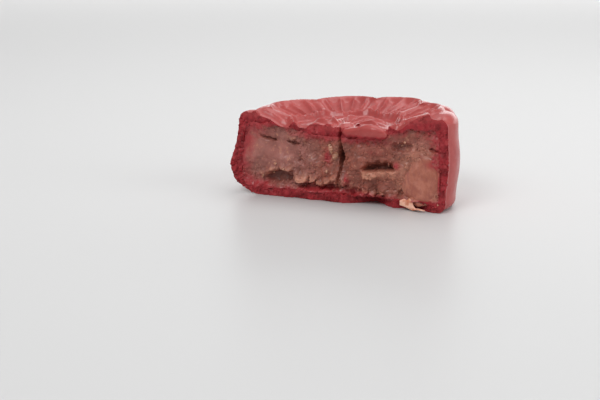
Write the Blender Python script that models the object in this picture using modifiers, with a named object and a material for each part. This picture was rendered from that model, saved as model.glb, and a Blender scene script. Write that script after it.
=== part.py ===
"""Half of a round pressed mooncake, broken open across the middle.

The real cake is a red pastry crust, pressed in a lobed mould with a flower stamped on its top, round
a thick paste with a large nut in it. It was snapped in two, and this is one half: it rests on its
flat base at z = 0 and its broken face looks towards -Y. Metres, +Z up, with the origin at the middle
of the base.
"""

import math

import bmesh
import bpy
from mathutils import Matrix, Vector, noise

# ---------------------------------------------------------------- driving dimensions
RADIUS = 0.037  # to the crest of a lobe, half way up the wall
LOBES = 14
LOBE_DEPTH = 0.0013  # how far the groove between two lobes lies inside their crests
LOBE_TURN = math.radians(111.0)  # where one lobe, and one fan of the stamp, has its middle
BARREL = 0.0008  # the wall is this much wider at mid height than at its ends
SHOULDER = 0.0038  # rounding between the wall and the rim
FOOT = 0.0028  # rounding between the wall and the base

RIM_HEIGHT = 0.0295  # the plain rim round the stamped top
RIM_RADIUS = RADIUS - SHOULDER - BARREL  # where the rim turns down into the shoulder
RIM_DROP = 0.0012  # the rim dips this much at each groove
FANS = 8  # petals of the stamp, each a ribbed fan that slopes down to the ring
FAN_RIBS = 5  # hollows between the ribs of one fan
FAN_RADIUS = 0.0308  # the outer end of a fan, at its middle
FAN_ROUNDING = 0.0048  # a fan's corners lie this much further in
FAN_HEIGHT = 0.0304
HOLLOW_DEPTH = 0.0008
RING_RADIUS = 0.0152  # the low ring between the fans and the flower
RING_HEIGHT = 0.0260
FLOWER_PETALS = 10  # round swirled petals in the middle
FLOWER_RISE = 0.0013
FLOWER_SWIRL = math.radians(26.0)
BUTTON_RADIUS = 0.0032

WALL = 0.0023  # crust thickness at the wall
BASE = 0.0027  # crust thickness at the base
CORE_RIM_HEIGHT = 0.0256  # top of the paste under the rim
CORE_SAG = 0.0040  # the paste is this much lower in the middle
CORE_ROUNDING = 0.0040
CORE_FOOT = 0.0020  # rounding at its foot
FIT_GAP = 0.0003  # air left between two pieces that touch

FACE_Y = -0.0048  # the break, measured from the middle of the whole cake
FACE_WAVE = 0.0009  # the break wanders this much to and fro
FACE_WAVE_SIZE = 0.0160
CRUST_GRAIN = 0.0004  # lumps of the torn crust, and their size
CRUST_GRAIN_SIZE = 0.0031
PASTE_SETBACK = 0.0006  # the paste broke a little behind the crust
PASTE_LUMPS = ((0.0011, 0.0058), (0.0006, 0.0027))  # height and size of its lumps
FLAP_X = 0.0085  # a flap of the top crust that hangs over the paste
FLAP_REACH = 0.0070
FLAP_FOOT = 0.0210
FLAP_DEPTH = 0.0014
CRUMBLED = ((0.0100, 0.0052, 0.0036), (0.0230, 0.0056, 0.0029))  # x, reach and depth of lost base crust
CRUMBLED_TOP = 0.0050

CRACK_WIDTH = 0.0022  # the half is nearly snapped again down its middle
CRACK_NARROWING = 0.35
CRACK_LEAN = 0.0006
CRACK_DEPTH = 0.0080
CRACK_FOOT = 0.0052
CRACK_HEAD = 0.0254

SLOPE = 0.045  # the top slopes: the right end is higher, and the left lower, by this share
SPLAY = 0.0010  # the wall of the squeezed left end stands out this far all over
BULGE = 0.0029  # and this much more low down
BULGE_HEIGHT = 0.0085
BULGE_REACH = 0.0080
TUCK = 0.0050  # and its foot is tucked in this far
TUCK_REACH = 0.0029

NUT_CENTRE = Vector((0.0258, 0.0010, 0.0103))
NUT_SIZE = Vector((0.0068, 0.0085, 0.0069))  # half its width, depth and height
NUT_LUMPS = 0.07  # its unevenness, as a share of its size
NUT_DOME = 0.0007  # its broken face stands out from the paste by this much

CHIP_CORNERS = ((0.0192, 0.0018), (0.0238, 0.0052), (0.0292, 0.0006))  # x and z of a thin nut flake
CHIP_THICKNESS = 0.0012
CHIP_BEND = 0.0007
CHIP_BEND_REACH = 0.0035

STEPS = 4 * FANS * FAN_RIBS  # round the whole crust
CORE_STEPS = 58  # and the paste
CELL = 0.0022  # of the break's grid
REACH = 0.0450  # half the width of the cutters, clear of the cake
CLEAR = 0.0060  # the cutters pass the cake by this much
CAKE_CENTRE = Vector((0.00185, -0.0151, 0.0))  # puts the origin in the middle of the half's base

CRUST_RED = (0.42, 0.064, 0.062, 1.0)
PASTE_BROWN = (0.33, 0.110, 0.085, 1.0)
NUT_PEACH = (0.42, 0.140, 0.095, 1.0)
CHIP_ORANGE = (0.62, 0.260, 0.150, 1.0)


# ---------------------------------------------------------------- small helpers
def smoothstep(low, high, value):
    share = min(1.0, max(0.0, (value - low) / (high - low)))
    return share * share * (3.0 - 2.0 * share)


def bump(value, centre, reach):
    """1 at the centre, falling off smoothly to 0 a little past the reach."""
    return math.exp(-(((value - centre) / reach) ** 2))


def clear_scene():
    for thing in list(bpy.data.objects):
        bpy.data.objects.remove(thing)


def new_collection(name):
    made = bpy.data.collections.new(name)
    bpy.context.scene.collection.children.link(made)
    return made


def new_material(name, colour, roughness):
    made = bpy.data.materials.new(name)
    made.use_nodes = True
    shader = made.node_tree.nodes["Principled BSDF"]
    shader.inputs["Base Color"].default_value = colour
    shader.inputs["Roughness"].default_value = roughness
    shader.inputs["Metallic"].default_value = 0.0
    return made


def new_object(name, mesh, collection, material=None):
    made = bpy.data.objects.new(name, mesh)
    made.location = CAKE_CENTRE
    if material:
        mesh.materials.clear()
        mesh.materials.append(material)
    collection.objects.link(made)
    return made


def as_helper(thing):
    """Cutters stay in the file but are no part of the cake."""
    thing.hide_render = True
    thing.display_type = "WIRE"
    return thing


def cut(thing, cutter):
    step = thing.modifiers.new("cut by " + cutter.name, "BOOLEAN")
    step.operation = "DIFFERENCE"
    step.object = cutter


# ---------------------------------------------------------------- form of the whole cake
def lobe_groove(angle):
    """0 at the crest of a lobe and 1 in the groove between two."""
    turn = (angle - LOBE_TURN) * LOBES / (2.0 * math.pi)
    return abs(2.0 * (turn - round(turn))) ** 2.4


def slump(point):
    """The left end was squeezed as the cake was snapped: its top sank and its wall bulged."""
    left = smoothstep(0.0, RADIUS, -point.x)
    bulge = SPLAY + BULGE * bump(point.z, BULGE_HEIGHT, BULGE_REACH)
    tuck = TUCK * bump(point.z, 0.0, TUCK_REACH)
    height = point.z * (1.0 + SLOPE * point.x / RADIUS)
    return Vector((point.x + left * (tuck - bulge), point.y, height))


def across_fan(angle):
    """-1 at one side of a fan, 0 at its middle and 1 at its other side."""
    turn = (angle - LOBE_TURN) * FANS / (2.0 * math.pi)
    return 2.0 * (turn - round(turn))


def fan_edge(angle):
    """Radius of the fans' rounded outer ends."""
    return FAN_RADIUS - FAN_ROUNDING * abs(across_fan(angle)) ** 2.5


def bent_ring(radius, angle):
    """Bends the round rings of the mesh so that they follow the fans' outline."""
    edge = fan_edge(angle)
    if radius <= RING_RADIUS or radius >= RIM_RADIUS:
        return radius
    if radius <= FAN_RADIUS:
        return RING_RADIUS + (radius - RING_RADIUS) * (edge - RING_RADIUS) / (FAN_RADIUS - RING_RADIUS)
    return edge + (radius - FAN_RADIUS) * (RIM_RADIUS - edge) / (RIM_RADIUS - FAN_RADIUS)


def flower_height(radius, angle):
    """Round petals, turned like a whirl, about a low button."""
    if radius < BUTTON_RADIUS:
        return RING_HEIGHT + 0.6 * FLOWER_RISE
    share = (radius - BUTTON_RADIUS) / (RING_RADIUS - BUTTON_RADIUS)
    turn = (angle - LOBE_TURN + FLOWER_SWIRL * share) * FLOWER_PETALS / (2.0 * math.pi)
    across = abs(2.0 * (turn - round(turn)))
    return RING_HEIGHT + FLOWER_RISE * math.sin(math.pi * share) ** 0.6 * (1.0 - 0.8 * across**2.5)


def fan_height(radius, angle):
    """A fan climbs from the ring to its outer end, hollowed between its ribs."""
    climb = (radius - RING_RADIUS) / (fan_edge(angle) - RING_RADIUS)
    turn = across_fan(angle) * FAN_RIBS / 2.0 + 0.5 * (FAN_RIBS + 1)
    rib = abs(2.0 * (turn - round(turn)))
    hollow = HOLLOW_DEPTH * (1.0 - rib**3) * math.sin(math.pi * min(1.0, climb)) ** 0.7
    return RING_HEIGHT + (FAN_HEIGHT - RING_HEIGHT) * climb - hollow


def stamped_height(radius, angle):
    """Height of the stamped top: a flower, a ring of ribbed fans and a plain rim."""
    if radius < RING_RADIUS:
        return flower_height(radius, angle)
    edge = fan_edge(angle)
    if radius < edge + 1e-6:
        return fan_height(radius, angle)
    down = smoothstep(edge, edge + 0.0012, radius)
    return FAN_HEIGHT + (RIM_HEIGHT - FAN_HEIGHT) * down - RIM_DROP * lobe_groove(angle) * down


def arc(centre, size, start, end, count):
    """Points on a quarter round, in radius and height."""
    angles = [math.radians(start + (end - start) * k / count) for k in range(count + 1)]
    return [(centre[0] + size * math.cos(a), centre[1] + size * math.sin(a)) for a in angles]


def turned_profile():
    """The cake's section from the middle of its top, down the wall, to the middle of its base."""
    flower = [RING_RADIUS * k / 5 for k in range(5)]
    fans = [RING_RADIUS + (FAN_RADIUS - RING_RADIUS) * k / 6 for k in range(7)]
    top = [(radius, RIM_HEIGHT) for radius in flower + fans]
    end_radius = RADIUS - BARREL
    shoulder = arc((end_radius - SHOULDER, RIM_HEIGHT - SHOULDER), SHOULDER, 90.0, 0.0, 3)
    low, high = FOOT, RIM_HEIGHT - SHOULDER
    wall = []
    for k in range(1, 4):
        share = k / 4.0
        bow = BARREL * (1.0 - (2.0 * share - 1.0) ** 2)
        wall.append((end_radius + bow, high + (low - high) * share))
    foot = arc((end_radius - FOOT, FOOT), FOOT, 0.0, -90.0, 2)
    return top + shoulder + wall + foot + [(end_radius * 0.5, 0.0), (0.0, 0.0)]


def core_profile(grow):
    """The section of the space inside the crust, larger all round by grow."""
    edge = RADIUS - BARREL - WALL + grow
    flat = edge - CORE_ROUNDING
    top = [(flat * k / 5, CORE_RIM_HEIGHT + grow) for k in range(5)]
    shoulder = arc((flat, CORE_RIM_HEIGHT + grow - CORE_ROUNDING), CORE_ROUNDING, 90.0, 0.0, 3)
    foot = arc((edge - CORE_FOOT, BASE - grow + CORE_FOOT), CORE_FOOT, 0.0, -90.0, 2)
    return top + shoulder + foot + [(0.0, BASE - grow)]


def turn_profile(name, profile, steps):
    """The solid that a profile sweeps out once round Z, as a mesh."""
    line = bpy.data.meshes.new(name)
    edges = [(k, k + 1) for k in range(len(profile) - 1)]
    line.from_pydata([(r, 0.0, z) for r, z in profile], edges, [])
    holder = bpy.data.objects.new(name, line)
    bpy.context.scene.collection.objects.link(holder)
    screw = holder.modifiers.new("turn", "SCREW")
    screw.steps = screw.render_steps = steps
    screw.use_merge_vertices = True
    screw.merge_threshold = 0.00002
    graph = bpy.context.evaluated_depsgraph_get()
    turned = bpy.data.meshes.new_from_object(holder.evaluated_get(graph))
    bpy.data.objects.remove(holder)
    return turned


def press_crust(mesh):
    """Presses lobes into the wall and the stamp into the top."""
    for vertex in mesh.vertices:
        x, y, z = vertex.co
        radius, angle = math.hypot(x, y), math.atan2(y, x)
        groove = lobe_groove(angle)
        if z > RIM_HEIGHT - 1e-5:
            placed = bent_ring(radius, angle)
            z = stamped_height(placed, angle)
        else:
            placed = radius - LOBE_DEPTH * groove * smoothstep(RIM_RADIUS, RADIUS - BARREL, radius)
            z -= RIM_DROP * groove * smoothstep(RIM_HEIGHT - SHOULDER, RIM_HEIGHT, z)
        shrink = placed / radius if radius > 0.0 else 1.0
        vertex.co = slump(Vector((x * shrink, y * shrink, z)))


def press_core(mesh):
    """The paste follows the lobes a little, and sags in the middle under the stamp."""
    for vertex in mesh.vertices:
        x, y, z = vertex.co
        radius, angle = math.hypot(x, y), math.atan2(y, x)
        inside = radius - 0.5 * LOBE_DEPTH * lobe_groove(angle) * smoothstep(0.020, RADIUS, radius)
        high = smoothstep(CORE_RIM_HEIGHT * 0.6, CORE_RIM_HEIGHT, z)
        sag = CORE_SAG * high * (1.0 - smoothstep(0.006, 0.027, radius))
        shrink = inside / radius if radius > 0.0 else 1.0
        vertex.co = slump(Vector((x * shrink, y * shrink, z - sag)))


# ---------------------------------------------------------------- the break
def break_wave(x, z):
    """The slow wander of the break, shared by the crust and the paste."""
    return FACE_Y + 2.0 * FACE_WAVE * noise.noise(Vector((x / FACE_WAVE_SIZE, 3.7, z / FACE_WAVE_SIZE)))


def crust_break(x, z):
    """The torn crust: an overhanging flap on the top, and a base that has crumbled away in two places."""
    y = break_wave(x, z) + CRUST_GRAIN * noise.noise(Vector((x, 0.0, z)) / CRUST_GRAIN_SIZE)
    flap = bump(x, FLAP_X, FLAP_REACH) * smoothstep(FLAP_FOOT, FLAP_FOOT + 0.002, z)
    lost = sum(depth * bump(x, middle, reach) for middle, reach, depth in CRUMBLED)
    return y - FLAP_DEPTH * flap + lost * (1.0 - smoothstep(0.4 * CRUMBLED_TOP, CRUMBLED_TOP, z))


# The deep pits in the paste: x, z, half width, half height and depth.
PITS = (
    (-0.0225, 0.0078, 0.0048, 0.0019, 0.0026),
    (0.0120, 0.0148, 0.0050, 0.0014, 0.0030),
    (-0.0262, 0.0197, 0.0022, 0.0009, 0.0012),
    (0.0200, 0.0205, 0.0028, 0.0012, 0.0014),
)


def paste_break(x, z):
    """The broken paste: lumps, steps and pits."""
    place = Vector((x, 1.3, z))
    y = break_wave(x, z) + PASTE_SETBACK
    y += sum(height * noise.noise(place / size) for height, size in PASTE_LUMPS)
    for pit_x, pit_z, half_width, half_height, depth in PITS:
        y += depth * bump(x, pit_x, half_width) * bump(z, pit_z, half_height)
    return y


def nut_break(x, z):
    """The nut broke smoothly, a little proud of the paste."""
    away = Vector(((x - NUT_CENTRE.x) / NUT_SIZE.x, (z - NUT_CENTRE.z) / NUT_SIZE.z)).length
    return break_wave(x, z) + 0.5 * PASTE_SETBACK - NUT_DOME * max(0.0, 1.0 - away * away)


def break_cutter(name, depth, collection):
    """A block that takes away all that lies in front of the break."""
    low, high = -CLEAR, FAN_HEIGHT + CLEAR
    columns, rows = round(2.0 * REACH / CELL), round((high - low) / CELL)
    made = bmesh.new()
    bmesh.ops.create_grid(made, x_segments=columns, y_segments=rows, size=1.0)
    for vertex in made.verts:
        x = vertex.co.x * REACH
        z = low + (high - low) * (vertex.co.y + 1.0) / 2.0
        vertex.co = Vector((x, depth(x, z), z))
    front = bmesh.ops.extrude_face_region(made, geom=made.faces[:])["geom"]
    for vertex in (item for item in front if isinstance(item, bmesh.types.BMVert)):
        vertex.co.y = -REACH - CLEAR
    bmesh.ops.recalc_face_normals(made, faces=made.faces[:])
    mesh = bpy.data.meshes.new(name)
    made.to_mesh(mesh)
    made.free()
    return as_helper(new_object(name, mesh, collection))


def crack_cutter(collection):
    """A wedge, widest at mid height and narrow inside, where the half began to part again."""
    made = bmesh.new()
    upright = Matrix.Rotation(math.pi / 2.0, 4, "X")
    bmesh.ops.create_cone(
        made, cap_ends=True, segments=10, radius1=1.0, radius2=1.0, depth=2.0, matrix=upright
    )
    for vertex in made.verts:
        across, depth, up = vertex.co
        inside = depth > 0.0
        squeeze = CRACK_NARROWING if inside else 1.0
        lean = CRACK_LEAN * math.sin(2.0 * up)
        vertex.co.x = 0.5 * CRACK_WIDTH * across * squeeze + lean
        vertex.co.y = FACE_Y + (CRACK_DEPTH if inside else -CLEAR)
        vertex.co.z = (CRACK_HEAD + CRACK_FOOT) / 2.0 + up * (CRACK_HEAD - CRACK_FOOT) / 2.0
    mesh = bpy.data.meshes.new("crack_cutter")
    made.to_mesh(mesh)
    made.free()
    return as_helper(new_object("crack_cutter", mesh, collection))


# ---------------------------------------------------------------- the pieces
def crust_piece(collection, cutters, material):
    """The lobed and stamped shell, open at the break, with a hollow for the paste."""
    mesh = turn_profile("crust", turned_profile(), STEPS)
    press_crust(mesh)
    crust = new_object("crust", mesh, collection, material)
    hollow = turn_profile("hollow", core_profile(FIT_GAP), CORE_STEPS)
    press_core(hollow)
    cut(crust, as_helper(new_object("hollow", hollow, cutters)))
    cut(crust, break_cutter("crust_cutter", crust_break, cutters))
    return crust


def filling_piece(collection, cutters, material):
    """The paste that fills the shell, with the crack down its middle."""
    mesh = turn_profile("filling", core_profile(0.0), CORE_STEPS)
    press_core(mesh)
    filling = new_object("filling", mesh, collection, material)
    cut(filling, break_cutter("paste_cutter", paste_break, cutters))
    cut(filling, crack_cutter(cutters))
    return filling


def nut_mesh(name, grow):
    """A lumpy egg."""
    made = bmesh.new()
    bmesh.ops.create_uvsphere(made, u_segments=20, v_segments=12, radius=1.0)
    for vertex in made.verts:
        lump = 1.0 + NUT_LUMPS * noise.noise(vertex.co * 1.6)
        vertex.co = NUT_CENTRE + Vector([(s * lump + grow) * c for s, c in zip(NUT_SIZE, vertex.co)])
    mesh = bpy.data.meshes.new(name)
    made.to_mesh(mesh)
    made.free()
    return mesh


def nut_piece(collection, cutters, material):
    """The large nut in the paste, broken with it."""
    nut = new_object("nut", nut_mesh("nut", 0.0), collection, material)
    cut(nut, break_cutter("nut_cutter", nut_break, cutters))
    return nut


def chip_mesh(name, grow):
    """A thin flake with three corners, bent a little, leaning in the crumbled base."""
    made = bmesh.new()
    middle = Vector((sum(x for x, _ in CHIP_CORNERS) / 3.0, sum(z for _, z in CHIP_CORNERS) / 3.0))
    outline = []
    for corner in CHIP_CORNERS:
        away = Vector(corner) - middle
        place = middle + away * (1.0 + grow / away.length)
        outline.append(made.verts.new((place.x, 0.0, place.y)))
    made.faces.new(outline)
    bmesh.ops.subdivide_edges(made, edges=made.edges[:], cuts=3, use_grid_fill=True)
    half = CHIP_THICKNESS / 2.0 + grow
    back = bmesh.ops.extrude_face_region(made, geom=made.faces[:])["geom"]
    behind = {item for item in back if isinstance(item, bmesh.types.BMVert)}
    for vertex in made.verts:
        bend = CHIP_BEND * math.sin((vertex.co.x - middle.x) / CHIP_BEND_REACH)
        vertex.co.y = FACE_Y - 0.5 * CHIP_THICKNESS + bend + (half if vertex in behind else -half)
    bmesh.ops.recalc_face_normals(made, faces=made.faces[:])
    mesh = bpy.data.meshes.new(name)
    made.to_mesh(mesh)
    made.free()
    return mesh


def main():
    clear_scene()
    cake = new_collection("mooncake_half")
    cutters = new_collection("cutters")
    crust = crust_piece(cake, cutters, new_material("crust", CRUST_RED, 0.55))
    filling = filling_piece(cake, cutters, new_material("filling", PASTE_BROWN, 0.65))
    nut_piece(cake, cutters, new_material("nut", NUT_PEACH, 0.50))
    cut(filling, as_helper(new_object("nut_socket", nut_mesh("nut_socket", FIT_GAP), cutters)))
    new_object("nut_chip", chip_mesh("nut_chip", 0.0), cake, new_material("nut_chip", CHIP_ORANGE, 0.45))
    chip_socket = as_helper(new_object("chip_socket", chip_mesh("chip_socket", FIT_GAP), cutters))
    cut(filling, chip_socket)
    cut(crust, chip_socket)


main()
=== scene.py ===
# %% [markdown]
# # Half of a snapped mooncake
# This file dresses a fixed model of half a mooncake: a red pressed pastry crust with a flower stamped
# on its top, a thick brown paste inside, one large nut in the paste, and a thin nut flake at the foot
# of the break. The fixed model gives the size and the place, so it is loaded first.

# %% Load the fixed model
import math
import random

import bmesh
import bpy
from mathutils import Euler, Matrix, Vector, noise


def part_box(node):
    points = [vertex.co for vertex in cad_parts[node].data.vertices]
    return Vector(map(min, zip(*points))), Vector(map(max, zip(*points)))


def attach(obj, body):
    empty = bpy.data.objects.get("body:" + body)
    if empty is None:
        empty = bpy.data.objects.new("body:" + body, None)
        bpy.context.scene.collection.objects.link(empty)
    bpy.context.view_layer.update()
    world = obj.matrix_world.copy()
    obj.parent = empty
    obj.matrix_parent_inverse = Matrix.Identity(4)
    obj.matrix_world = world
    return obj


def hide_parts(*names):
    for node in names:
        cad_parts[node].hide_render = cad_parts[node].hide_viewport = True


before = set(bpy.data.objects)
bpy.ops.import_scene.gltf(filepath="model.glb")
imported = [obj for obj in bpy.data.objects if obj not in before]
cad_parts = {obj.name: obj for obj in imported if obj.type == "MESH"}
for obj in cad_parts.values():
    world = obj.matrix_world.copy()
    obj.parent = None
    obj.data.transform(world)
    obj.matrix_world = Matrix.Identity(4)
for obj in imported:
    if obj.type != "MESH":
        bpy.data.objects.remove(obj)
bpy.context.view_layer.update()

noise.seed_set(8)  # without a seed, the vector noise starts from the clock

# %% [markdown]
# The whole cake was a disc. Its middle isn't the middle of this half, so it is worked out from the
# crust's box: the wall's crest reaches the back of the box, and the break lies a little in front of
# the middle. Everything is modelled about the disc's middle, where the formulas are simple, and is
# moved to its place when it is finished.

# %% The disc's size and middle
MM = 0.001
RADIUS = 37.0 * MM
BREAK = -4.8 * MM  # where the cake was snapped, from the disc's middle
_, crust_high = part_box("crust")
half_chord = math.sqrt(RADIUS**2 - BREAK**2)
cake_middle = Vector((crust_high.x - half_chord - 0.1 * MM, crust_high.y - RADIUS + 0.1 * MM, 0.0))
print("middle of the whole cake, mm:", [round(c / MM, 2) for c in cake_middle])

# %% [markdown]
# ## Camera and light
# The cake is small, so the camera stands a third of a metre away with a long lens, a little above the
# table. Four soft boxes give pastry its shape: a wide one overhead draws the gloss along the stamped
# ridges, one at the right lights the wall, one in front fills the break, and a long low one far behind
# lights the table and puts a sheen on the top.

# %% Camera
camera_data = bpy.data.cameras.new("camera")
camera = bpy.data.objects.new("camera", camera_data)
bpy.context.scene.collection.objects.link(camera)
camera.location = cake_middle + Vector((122.7, -318.7, 85.5)) * MM
camera_aim = Vector((-0.3884, 0.8887, -0.2435))
camera.rotation_euler = camera_aim.to_track_quat("-Z", "Y").to_euler()
camera_data.sensor_width = 36.0
camera_data.lens = 63.65
camera_data.clip_start = 0.01
bpy.context.scene.camera = camera
print("camera at, mm:", [round(c / MM, 1) for c in camera.location])


# %% Soft boxes and surroundings
CAKE_HEART = Vector((0.0, 0.0, 12.0)) * MM


def soft_box(name, place, width, depth, watts):
    """A rectangular lamp at a place, turned to the cake."""
    data = bpy.data.lights.new(name, "AREA")
    data.shape = "RECTANGLE"
    data.size = width
    data.size_y = depth
    data.energy = watts
    lamp = bpy.data.objects.new(name, data)
    bpy.context.scene.collection.objects.link(lamp)
    lamp.location = place
    lamp.rotation_euler = (CAKE_HEART - lamp.location).to_track_quat("-Z", "Y").to_euler()


soft_box("overhead box", Vector((0.06, 0.16, 0.60)), 0.60, 0.45, 1.8)
soft_box("right box", Vector((0.62, 0.05, 0.30)), 0.35, 0.45, 1.7)
soft_box("front box", Vector((-0.12, -0.55, 0.60)), 0.35, 0.35, 3.0)
soft_box("back box", Vector((-0.20, 1.50, 0.32)), 3.00, 0.55, 10.5)

world = bpy.data.worlds.new("surroundings")
bpy.context.scene.world = world
world.use_nodes = True
world.node_tree.nodes["Background"].inputs["Color"].default_value = (1.0, 1.0, 1.0, 1.0)
world.node_tree.nodes["Background"].inputs["Strength"].default_value = 0.34
bpy.context.scene.view_settings.view_transform = "Standard"


# %% [markdown]
# ## Helpers for working by hand
# Operators act on whatever is selected, so one helper selects a single object first. A shape that was
# turned or cut is finished by the same few steps each time: normals out, moved to its place, and its
# place put into the mesh.

# %% Selecting and finishing
def only(thing):
    """Makes one object the selected and active one."""
    bpy.ops.object.select_all(action="DESELECT")
    thing.select_set(True)
    bpy.context.view_layer.objects.active = thing


def apply_step(thing, step):
    """Puts a modifier's result into the mesh."""
    only(thing)
    bpy.ops.object.modifier_apply(modifier=step.name)


def reshape(thing, rule):
    """Moves every point of a mesh to where a rule says."""
    for vertex in thing.data.vertices:
        vertex.co = rule(vertex.co)
    thing.data.update()


def set_in_place(thing, sharp_angle):
    """Shades a finished piece, and moves it from the disc's middle to its place."""
    only(thing)
    bpy.ops.object.shade_smooth_by_angle(angle=math.radians(sharp_angle))
    thing.location = cake_middle
    bpy.ops.object.transform_apply(location=True, rotation=True, scale=True)
    count = sum(len(face.vertices) - 2 for face in thing.data.polygons)
    print(thing.name, "has", count, "triangles")


def paint(thing, name, rule):
    """Writes a value from 0 to 1 on every point of a mesh."""
    layer = thing.data.attributes.new(name, "FLOAT", "POINT")
    values = [min(1.0, max(0.0, rule(vertex.co))) for vertex in thing.data.vertices]
    layer.data.foreach_set("value", values)
    print(thing.name, name, "mean", round(sum(values) / len(values), 3))


def smoothstep(low, high, value):
    """0 below low, 1 above high, and a soft rise between them."""
    share = min(1.0, max(0.0, (value - low) / (high - low)))
    return share * share * (3.0 - 2.0 * share)


def bump(value, centre, reach):
    """1 at the centre, falling off smoothly to 0 a little past the reach."""
    return math.exp(-(((value - centre) / reach) ** 2))


# %% [markdown]
# ## Turning a round shape
# Both the crust and the space inside it are turned: an outline is drawn point by point beside the
# axis, and spun once round it. Extruding one vertex after another is how such an outline is drawn by
# hand, and it keeps full control of where the rings of the finished mesh lie.

# %% Draw an outline and spin it
def arc(middle, size, start, end, count):
    """Points on part of a circle, in radius and height."""
    angles = [math.radians(start + (end - start) * k / count) for k in range(count + 1)]
    return [(middle[0] + size * math.cos(a), middle[1] + size * math.sin(a)) for a in angles]


def turned(name, outline, steps):
    """The solid that an outline of (radius, height) points sweeps out once round Z."""
    bpy.ops.object.select_all(action="DESELECT")
    bpy.ops.mesh.primitive_plane_add(size=MM, location=(0.0, 0.0, 0.0))
    made = bpy.context.object
    made.name = name
    bpy.ops.object.mode_set(mode="EDIT")
    bpy.ops.mesh.merge(type="CENTER")
    points = [Vector((radius, 0.0, height)) for radius, height in outline]
    bpy.ops.transform.translate(value=points[0])
    for start, end in zip(points, points[1:]):
        bpy.ops.mesh.extrude_vertices_move(TRANSFORM_OT_translate={"value": end - start})
    bpy.ops.mesh.select_all(action="SELECT")
    bpy.ops.mesh.spin(steps=steps, angle=math.tau, center=(0.0, 0.0, 0.0), axis=(0.0, 0.0, 1.0))
    bpy.ops.mesh.select_all(action="SELECT")
    bpy.ops.mesh.remove_doubles(threshold=0.005 * MM)
    bpy.ops.mesh.normals_make_consistent(inside=False)
    bpy.ops.object.mode_set(mode="OBJECT")
    print(name, "turned with", len(made.data.vertices), "points")
    return made


# %% [markdown]
# ## The form of the pressed crust
# The mould gives the wall its lobes and the top its stamp: a flower of swirled petals in the middle, a
# low ring round it, and eight fans of thin ribs that climb from the ring to a plain rim. All of it is
# written as a height over radius and angle, because each part repeats round the disc. The left end
# was squeezed when the cake was snapped, so its top has sunk and its wall bulges.

# %% Sizes of the crust
LOBES = 14
LOBE_DEPTH = 1.3 * MM
LOBE_TURN = math.radians(111.0)
BARREL = 0.8 * MM
SHOULDER = 3.8 * MM
FOOT = 2.8 * MM
END_RADIUS = RADIUS - BARREL
RIM_HEIGHT = 29.5 * MM
RIM_RADIUS = END_RADIUS - SHOULDER
RIM_DROP = 1.3 * MM
FANS = 8
FAN_RIBS = 5
FAN_RADIUS = 30.8 * MM
FAN_ROUNDING = 4.8 * MM
FAN_HEIGHT = 30.4 * MM
FAN_ROOT = 8.0 * MM  # the ribs of a fan spread from here
FAN_SPREAD = math.radians(34.0)
DISH = 1.0 * MM  # each fan is hollowed this much between its edges
VEIN_HEIGHT = 0.65 * MM
RING_RADIUS = 15.2 * MM
RING_HEIGHT = 25.0 * MM
RING_LOBE = 2.4 * MM  # the ring reaches this much further out between two fans
LIP_HEIGHT = 1.1 * MM  # of the raised edge round the inner end of a fan
FLOWER_PETALS = 10
FLOWER_RISE = 1.35 * MM
FLOWER_SWIRL = math.radians(40.0)
BUTTON_RADIUS = 3.2 * MM
SLOPE = 0.045
SPLAY = 1.0 * MM
BULGE = 2.9 * MM
TUCK = 5.0 * MM


# %% Lobes and the squeezed end
def lobe_groove(angle):
    """0 at the crest of a lobe and 1 in the groove between two."""
    turn = (angle - LOBE_TURN) * LOBES / math.tau
    return abs(2.0 * (turn - round(turn))) ** 2.4


def splay(z):
    """How far the wall of the squeezed left end stands out at a height."""
    return SPLAY + BULGE * bump(z, 8.5 * MM, 8.0 * MM) - TUCK * bump(z, 0.0, 2.9 * MM)


def slump(point):
    """Slopes the top down to the left, where the wall bulges and the foot is tucked in."""
    left = smoothstep(0.0, RADIUS, -point.x)
    height = point.z * (1.0 + SLOPE * point.x / RADIUS)
    return Vector((point.x - left * splay(point.z), point.y, height))


# %% The stamp
def across_fan(angle):
    """-1 at one side of a fan, 0 at its middle and 1 at its other side."""
    turn = (angle - LOBE_TURN) * FANS / math.tau
    return 2.0 * (turn - round(turn))


def fan_edge(angle):
    """Radius of the fans' rounded outer ends."""
    return FAN_RADIUS - FAN_ROUNDING * abs(across_fan(angle)) ** 2.5


def across_petal(radius, angle):
    """-1 at one side of a flower petal and 1 at its other side; the petals are turned like a whirl."""
    swirl = FLOWER_SWIRL * (radius / RING_RADIUS) ** 2
    turn = (angle - LOBE_TURN + swirl) * FLOWER_PETALS / math.tau
    return 2.0 * (turn - round(turn))


def flower_edge(angle):
    """Radius of the flower's outline: a round tip for each petal."""
    return RING_RADIUS - 1.0 * MM - 1.8 * MM * abs(across_petal(RING_RADIUS, angle)) ** 2.2


def flower_height(radius, angle):
    """Domed petals about a button, each with a raised lip on one side and a hollow on the other."""
    low = RING_HEIGHT - 0.2 * MM * bump(radius, 0.0, 9.0 * MM)
    if radius < BUTTON_RADIUS:
        return low + 0.7 * FLOWER_RISE * (1.0 - smoothstep(0.35, 1.0, radius / BUTTON_RADIUS))
    share = min(1.0, (radius - BUTTON_RADIUS) / (flower_edge(angle) - BUTTON_RADIUS))
    across = across_petal(radius, angle)
    lip = 0.55 * bump(across, 0.40, 0.20) - 0.45 * bump(across, -0.15, 0.30)
    dome = 1.0 - 0.95 * abs(across) ** 2.6
    return low + FLOWER_RISE * math.sin(math.pi * share) ** 0.8 * (dome + lip)


def fan_rib(radius, angle):
    """0 in the middle of a hollow and 1 on a rib; a fan's ribs spread from its root."""
    offset = across_fan(angle) * math.pi / FANS
    spread = math.atan2(radius * math.sin(offset), radius * math.cos(offset) - FAN_ROOT)
    turn = spread / FAN_SPREAD * FAN_RIBS / 2.0 + 0.5 * (FAN_RIBS + 1)
    return abs(2.0 * (turn - round(turn)))


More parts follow.
